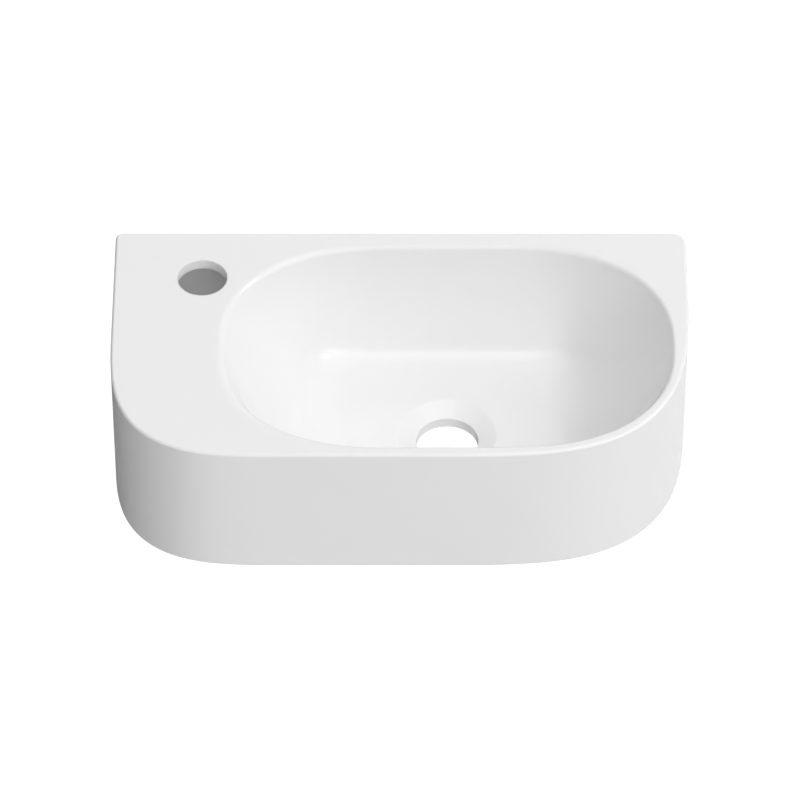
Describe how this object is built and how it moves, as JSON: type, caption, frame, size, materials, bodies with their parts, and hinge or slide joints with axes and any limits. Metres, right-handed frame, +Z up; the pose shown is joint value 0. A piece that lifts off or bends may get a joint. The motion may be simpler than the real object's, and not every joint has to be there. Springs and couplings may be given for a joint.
{
  "type": "wall-hung basin",
  "caption": "Small wall-hung ceramic hand basin with a tap deck on its left, an oval bowl with a dished waste outlet, and hidden bolt fixings with capped nuts.",
  "frame": {"origin": "midway between the two fixing bolts, on the wall plane", "axes": "+X to the right as seen from the front, +Y into the wall along the fixing bolts, +Z up"},
  "size_m": [0.405, 0.274, 0.112],
  "materials": {
    "glazed_china": "white glaze, high gloss, with a soft orange-peel ripple",
    "plug_nylon": "grey moulded nylon",
    "bush_nylon": "natural moulded nylon",
    "plated_steel": "bright zinc plating",
    "cap_plastic": "white moulded plastic"
  },
  "bodies": {
    "basin": {"basin_body": "glazed_china", "left_wall_plug": "plug_nylon", "left_hanger_bolt": "plated_steel", "left_bush": "bush_nylon", "right_wall_plug": "plug_nylon", "right_hanger_bolt": "plated_steel", "right_bush": "bush_nylon"},
    "left_washer": {"left_washer": "plated_steel"},
    "left_nut": {"left_nut": "plated_steel"},
    "left_cap": {"left_nut_cap": "cap_plastic"},
    "right_washer": {"right_washer": "plated_steel"},
    "right_nut": {"right_nut": "plated_steel"},
    "right_cap": {"right_nut_cap": "cap_plastic"}
  },
  "joints": [
    {"name": "left_washer_slide", "type": "slide", "parent": "basin", "child": "left_washer", "axis": [0, -1, 0], "range_m": [0, 0.0075]},
    {"name": "left_nut_turn", "type": "hinge", "parent": "left_washer", "child": "left_nut", "pos_m": [-0.135, 0, 0], "axis": [0, -1, 0], "range_deg": [0, 2160]},
    {"name": "left_cap_pull", "type": "slide", "parent": "left_nut", "child": "left_cap", "axis": [0, -1, 0], "range_m": [0, 0.016]},
    {"name": "right_washer_slide", "type": "slide", "parent": "basin", "child": "right_washer", "axis": [0, -1, 0], "range_m": [0, 0.0075]},
    {"name": "right_nut_turn", "type": "hinge", "parent": "right_washer", "child": "right_nut", "pos_m": [0.135, 0, 0], "axis": [0, -1, 0], "range_deg": [0, 2160]},
    {"name": "right_cap_pull", "type": "slide", "parent": "right_nut", "child": "right_cap", "axis": [0, -1, 0], "range_m": [0, 0.016]}
  ],
  "couplings": [
    {"joint": "left_washer_slide", "follows": "left_nut_turn", "m_per_rad": 0.00019894},
    {"joint": "right_washer_slide", "follows": "right_nut_turn", "m_per_rad": 0.00019894}
  ]
}
